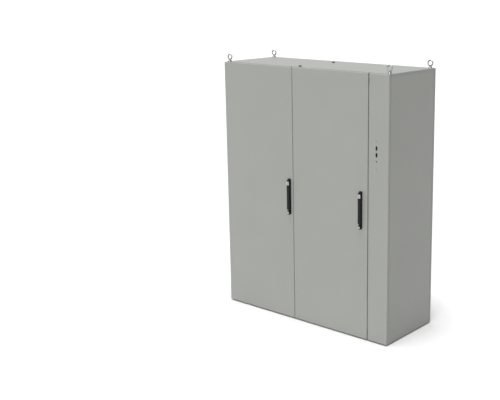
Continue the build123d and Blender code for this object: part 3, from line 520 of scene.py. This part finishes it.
def lock_core(side):
    """The lock's barrel with a dished face and a keyway."""
    low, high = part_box(f"{side}_lock_core")
    x, z = (low.x + high.x) / 2, (low.z + high.z) / 2
    radius = (high.x - low.x) / 2
    length = high.y - low.y
    profile = [
        (0, 0), (radius, 0), (radius, length - CORE_EDGE), (radius - CORE_EDGE, length),
        (radius - 2.2 * MM, length), (radius - 2.6 * MM, length - 0.7 * MM), (0, length - 0.7 * MM),
    ]
    made = bmesh.new()
    add_lathe(made, profile, (x, high.y, z), (0, -1, 0), 48)
    piece = add_piece(
        f"{side}_lock_barrel", f"{side}_lock_turning", made, "satin_chrome", f"{side}_lock_core"
    )
    made = bmesh.new()
    add_box(
        made,
        (x - KEYWAY_HALF[0], low.y - MM, z - KEYWAY_HALF[1]),
        (x + KEYWAY_HALF[0], low.y + KEYWAY_DEPTH, z + KEYWAY_HALF[1]),
    )
    cut(piece, "satin_chrome", made)


# --- gaskets --------------------------------------------------------------------------------
BEAD_WIDTH = 8 * MM
BEAD_TURN_R = 9 * MM
BEAD_CORNER_STEPS = 8
BEAD_STEP = 30 * MM            # distance between sections on the straight runs
BEAD_SWELL = 0.05              # share by which the crown rises and falls
BEAD_DRIFT = 0.25 * MM         # sideways wander of the bead
# across (share of the width) and up (share of the height), from one foot over the crown
BEAD_SECTION = (
    (-0.5, 0.0), (-0.48, 0.42), (-0.4, 0.72), (-0.22, 0.94), (0.0, 1.0),
    (0.22, 0.94), (0.4, 0.72), (0.48, 0.42), (0.5, 0.0),
)


def bead_path(half_width, half_height):
    """Points and angles along the middle of the bead, closer together in the corners."""
    reach = BEAD_WIDTH / 2
    corners = rounded_outline(
        half_width - reach, half_height - reach, BEAD_TURN_R, BEAD_CORNER_STEPS
    )
    path = []
    for first, second in zip(corners, corners[1:] + corners[:1]):
        path.append(first)
        gap = math.hypot(second[0] - first[0], second[1] - first[1])
        parts = max(1, int(gap / BEAD_STEP))
        for k in range(1, parts):
            share = k / parts
            path.append((
                first[0] + (second[0] - first[0]) * share,
                first[1] + (second[1] - first[1]) * share,
                first[2],
            ))
    return path


def gasket(name, body, replaced):
    """A foamed bead laid in one closed run: crowned, slightly uneven, with round corners."""
    low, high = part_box(replaced)
    middle = (low + high) / 2
    depth = high.y - low.y
    width = BEAD_WIDTH - 2 * BEAD_DRIFT
    shake = random.Random(7)
    rows = []
    made = bmesh.new()
    for along, up, a in bead_path((high.x - low.x) / 2, (high.z - low.z) / 2):
        swell = 1 - BEAD_SWELL * shake.random()
        drift = BEAD_DRIFT * (shake.random() - 0.5)
        rows.append([
            made.verts.new((
                middle.x + along + (across * width + drift) * math.cos(a),
                low.y + rise * depth * swell,
                middle.z + up + (across * width + drift) * math.sin(a),
            ))
            for across, rise in BEAD_SECTION
        ])
    bridge_all(made, rows + rows[:1])
    add_piece(name, body, made, "gasket_foam", replaced)


# --- screws, bolts and studs ----------------------------------------------------------------
# hexagon heads and nuts: (across flats, height); washers: (radius, thickness, bore radius)
M8_HEAD = (13 * MM, 5.3 * MM)
M8_NUT = (13 * MM, 6.5 * MM)
M8_WASHER = (8 * MM, 1.6 * MM, 4.2 * MM)
M8_R = 4 * MM
M8_PITCH = 1.25 * MM
M12_HEAD = (19 * MM, 7 * MM)
M12_WASHER = (14 * MM, 1.5 * MM, 6.2 * MM)
M12_R = 6 * MM
M12_PITCH = 1.75 * MM
M12_LENGTH = 22 * MM
PLATE_BOLT_LENGTH = 18 * MM
PLATE_GRIP = 7 * MM            # mounting plate and bracket between bolt and nut
SCREW_PITCH = 1.25 * MM
SCREW_R = 3 * MM
SCREW_HEAD = (6 * MM, 1.5 * MM)
GLAND_SCREW_R = 2.5 * MM
GLAND_SCREW_HEAD = (5 * MM, 2.5 * MM)
# a head's button: (share of the radius, share of the height), from the rim to the recess
BUTTON = ((0.97, 0.0), (1.0, 0.1), (1.0, 0.3), (0.96, 0.5), (0.85, 0.75), (0.68, 0.93), (0.5, 1.0))
STAR_LOBES = 0.14
# a hexagon's levels: (share of the height, greatest radius as a share of half the flats)
HEXAGON = ((0.0, 2 / math.sqrt(3)), (0.82, 1.09), (1.0, 0.94))


def loose_parts(node):
    """The boxes of a CAD node's separate pieces."""
    source = bmesh.new()
    source.from_mesh(NODES[node].data)
    bmesh.ops.remove_doubles(source, verts=source.verts, dist=TOUCHING)
    left = set(source.verts)
    boxes = []
    while left:
        edge_of_search = [left.pop()]
        found = []
        while edge_of_search:
            vert = edge_of_search.pop()
            found.append(vert.co.copy())
            for edge in vert.link_edges:
                other = edge.other_vert(vert)
                if other in left:
                    left.remove(other)
                    edge_of_search.append(other)
        boxes.append((
            Vector(min(co[i] for co in found) for i in range(3)),
            Vector(max(co[i] for co in found) for i in range(3)),
        ))
    source.free()
    return sorted(boxes, key=lambda pair: tuple(round(c, 4) for c in pair[0]))


def threaded(radius, pitch, length):
    """Profile points of a threaded shank, from its flat tip up to height zero."""
    turns = max(2, int(length / pitch))
    step = length / turns
    root = radius - 0.6 * step
    points = [(0.0, -length), (root, -length)]
    for k in range(turns):
        points += [(radius, -length + (k + 0.5) * step), (root, -length + (k + 1) * step)]
    return points


def add_shank(made, radius, pitch, length, at, axis, sides=20):
    """A threaded shank that runs back from a place, against the axis."""
    add_lathe(made, threaded(radius, pitch, length) + [(0.0, 0.0)], at, axis, sides)


def add_star_screw(made, at, axis, head, shank_r, length):
    """A low button head with a star recess, on a threaded shank."""
    radius, height = head
    star = 0.36 * radius
    depth = 0.7 * height
    profile = threaded(shank_r, SCREW_PITCH, length)[:-1] + [(shank_r, 0.0)]
    profile += [(out * radius, up * height) for out, up in BUTTON]
    profile += [
        (1.06 * star, height, STAR_LOBES),
        (star, height - 0.15 * depth, STAR_LOBES),
        (0.96 * star, height - depth, STAR_LOBES),
        (0.0, height - 1.1 * depth),
    ]
    add_lathe(made, profile, at, axis, 24)


def add_washer(made, at, axis, size):
    """A punched washer: one edge rolled over, the other sharp."""
    radius, thickness, bore = size
    profile = (
        (bore, 0.0), (radius, 0.0), (radius, 0.6 * thickness),
        (radius - 0.35 * thickness, thickness), (bore, thickness),
    )
    rows = [round_row(made, at, axis, lambda a: reach, height, 40) for reach, height in profile]
    bridge_all(made, rows + rows[:1])


def add_hexagon(made, at, axis, size):
    """A hexagon head or nut with chamfered corners, standing on a place."""
    across, height = size
    rows = []
    for share, limit in HEXAGON:
        def reach(a):
            from_flat = (a + math.pi / 6) % (math.pi / 3) - math.pi / 6
            return across / 2 * min(1 / math.cos(from_flat), limit)
        rows.append(round_row(made, at, axis, reach, share * height, 24))
    bridge_all(made, rows)
    made.faces.new(rows[0])
    made.faces.new(rows[-1])


def screws():
    """Panel and gland plate screws, standing where the CAD ones stand."""
    made = bmesh.new()
    for low, high in loose_parts("side_panel_screws"):
        out = 1 if high.x > 0 else -1
        middle = (low + high) / 2
        face = out * (max(abs(low.x), abs(high.x)) - SCREW_HEAD[1])
        length = high.x - low.x - SCREW_HEAD[1]
        at = (face, middle.y, middle.z)
        add_star_screw(made, at, (out, 0, 0), SCREW_HEAD, SCREW_R, length)
    add_piece("side_panel_star_screws", "root", made, "zinc_fasteners", "side_panel_screws")
    made = bmesh.new()
    for low, high in loose_parts("rear_panel_screws"):
        middle = (low + high) / 2
        length = high.y - low.y - SCREW_HEAD[1]
        at = (middle.x, high.y - SCREW_HEAD[1], middle.z)
        add_star_screw(made, at, (0, 1, 0), SCREW_HEAD, SCREW_R, length)
    add_piece("rear_panel_star_screws", "root", made, "zinc_fasteners", "rear_panel_screws")
    made = bmesh.new()
    for low, high in loose_parts("gland_plate_screws"):
        middle = (low + high) / 2
        length = high.z - low.z - GLAND_SCREW_HEAD[1]
        at = (middle.x, middle.y, high.z - GLAND_SCREW_HEAD[1])
        add_star_screw(made, at, (0, 0, 1), GLAND_SCREW_HEAD, GLAND_SCREW_R, length)
    add_piece("gland_plate_star_screws", "root", made, "zinc_fasteners", "gland_plate_screws")


def bolts():
    """Roof, panel and mounting plate bolts, with chamfered hexagons."""
    up, back, front = (0, 0, 1), (0, 1, 0), (0, -1, 0)
    made = bmesh.new()
    for low, high in loose_parts("roof_bolts"):
        middle = (low + high) / 2
        face = high.z - M12_WASHER[1] - M12_HEAD[1]
        at = (middle.x, middle.y, face)
        add_washer(made, at, up, M12_WASHER)
        add_hexagon(made, (middle.x, middle.y, face + M12_WASHER[1]), up, M12_HEAD)
        add_shank(made, M12_R, M12_PITCH, M12_LENGTH, at, up, 24)
    add_piece("roof_hexagon_bolts", "root", made, "dark_fasteners", "roof_bolts")
    made = bmesh.new()
    for low, high in loose_parts("disconnect_panel_bolts"):
        middle = (low + high) / 2
        at = (middle.x, high.y - M8_HEAD[1], middle.z)
        add_hexagon(made, at, back, M8_HEAD)
        add_shank(made, M8_R, M8_PITCH, at[1] - low.y, at, back, 16)
    add_piece("panel_hexagon_bolts", "root", made, "zinc_fasteners", "disconnect_panel_bolts")
    made = bmesh.new()
    for low, high in loose_parts("plate_bolts"):
        middle = (low + high) / 2
        face = low.y + M8_HEAD[1] + M8_WASHER[1]
        at = (middle.x, face, middle.z)
        add_washer(made, at, front, M8_WASHER)
        add_hexagon(made, (middle.x, face - M8_WASHER[1], middle.z), front, M8_HEAD)
        add_shank(made, M8_R, M8_PITCH, PLATE_BOLT_LENGTH, at, front)
        add_hexagon(made, (middle.x, face + PLATE_GRIP, middle.z), back, M8_NUT)
    add_piece("plate_hexagon_bolts", "root", made, "zinc_fasteners", "plate_bolts")


def earth_studs():
    """Brass studs with a washer and a nut."""
    made = bmesh.new()
    for low, high in loose_parts("earth_studs"):
        middle = (low + high) / 2
        at = (middle.x, middle.y, low.z)
        add_shank(made, M8_R, M8_PITCH, high.z - low.z, at, (0, 0, -1))
        add_washer(made, at, (0, 0, 1), M8_WASHER)
        add_hexagon(made, (middle.x, middle.y, low.z + M8_WASHER[1]), (0, 0, 1), M8_NUT)
    add_piece("earth_stud_and_nuts", "root", made, "brass", "earth_studs")


for side in SIDES:
    lever(side)
    lock_plate(side)
    lock_core(side)
    gasket(f"{side}_door_foam_bead", f"{side}_door", f"{side}_door_gasket")
gasket("disconnect_panel_foam_bead", "root", "disconnect_panel_gasket")
screws()
bolts()
earth_studs()


# --- floor, light and camera ----------------------------------------------------------------
FLOOR_R = 400.0                # wide enough to reach the horizon
SKY_TOWARDS = (-0.82, 0.12, 0.2)
SKY = (0.02, 0.78)             # strength away from and towards that direction


def floor():
    """A wide pale floor at the cabinet's feet."""
    mesh = bpy.data.meshes.new("floor")
    made = bmesh.new()
    bmesh.ops.create_circle(made, cap_ends=True, segments=96, radius=FLOOR_R)
    made.to_mesh(mesh)
    made.free()
    plane = bpy.data.objects.new("floor", mesh)
    bpy.context.collection.objects.link(plane)
    s = Shader("pale_floor", Specular_IOR_Level=0.15)
    cloud = s.noise(0.6, 3.0, 0.5)
    mesh.materials.append(
        s.finish(s.mix(cloud, grey(0.645), grey(0.675)), 0.8, s.bump(s.noise(60.0), 0.0004, 0.2))
    )


def sky():
    """Soft surroundings, brighter from the left and above than from the right."""
    world = bpy.data.worlds.new("studio")
    bpy.context.scene.world = world
    world.use_nodes = True
    tree = world.node_tree
    place = tree.nodes.new("ShaderNodeTexCoord")
    dot = tree.nodes.new("ShaderNodeVectorMath")
    dot.operation = "DOT_PRODUCT"
    dot.inputs[1].default_value = SKY_TOWARDS
    tree.links.new(place.outputs["Generated"], dot.inputs[0])
    ranged = tree.nodes.new("ShaderNodeMapRange")
    ranged.inputs["From Min"].default_value = -0.8
    ranged.inputs["From Max"].default_value = 0.8
    ranged.inputs["To Min"].default_value = SKY[0]
    ranged.inputs["To Max"].default_value = SKY[1]
    tree.links.new(dot.outputs["Value"], ranged.inputs["Value"])
    background = tree.nodes["Background"]
    background.inputs["Color"].default_value = (1.0, 1.0, 1.0, 1.0)
    tree.links.new(ranged.outputs["Result"], background.inputs["Strength"])


def sun(name, direction, strength, softness):
    """A soft distant light that shines along direction."""
    light = bpy.data.lights.new(name, "SUN")
    light.energy = strength
    light.angle = math.radians(softness)
    made = bpy.data.objects.new(name, light)
    made.rotation_mode = "QUATERNION"
    made.rotation_quaternion = Vector(direction).to_track_quat("-Z", "Y")
    bpy.context.collection.objects.link(made)


floor()
sky()
sun("top", (-0.03, 0.1, -1.0), 3.75, 25.0)
sun("front", (-0.30, 0.85, -0.2), 1.52, 25.0)

CAMERA_AT = (4.272, -5.260, 2.623)
CAMERA_YAW = math.radians(37.92)
CAMERA_PITCH = math.radians(-12.41)
LENS = 63.3888                 # millimetres, on a 36 mm sensor
SHIFT = (-0.1884, -0.05)

camera_data = bpy.data.cameras.new("camera")
camera = bpy.data.objects.new("camera", camera_data)
camera.location = CAMERA_AT
camera.rotation_euler = (math.pi / 2 + CAMERA_PITCH, 0.0, CAMERA_YAW)
camera_data.sensor_width = 36.0
camera_data.lens = LENS
camera_data.shift_x, camera_data.shift_y = SHIFT
camera_data.clip_start = 0.05
camera_data.clip_end = 900.0
bpy.context.collection.objects.link(camera)
bpy.context.scene.camera = camera
bpy.context.scene.view_settings.view_transform = "Standard"
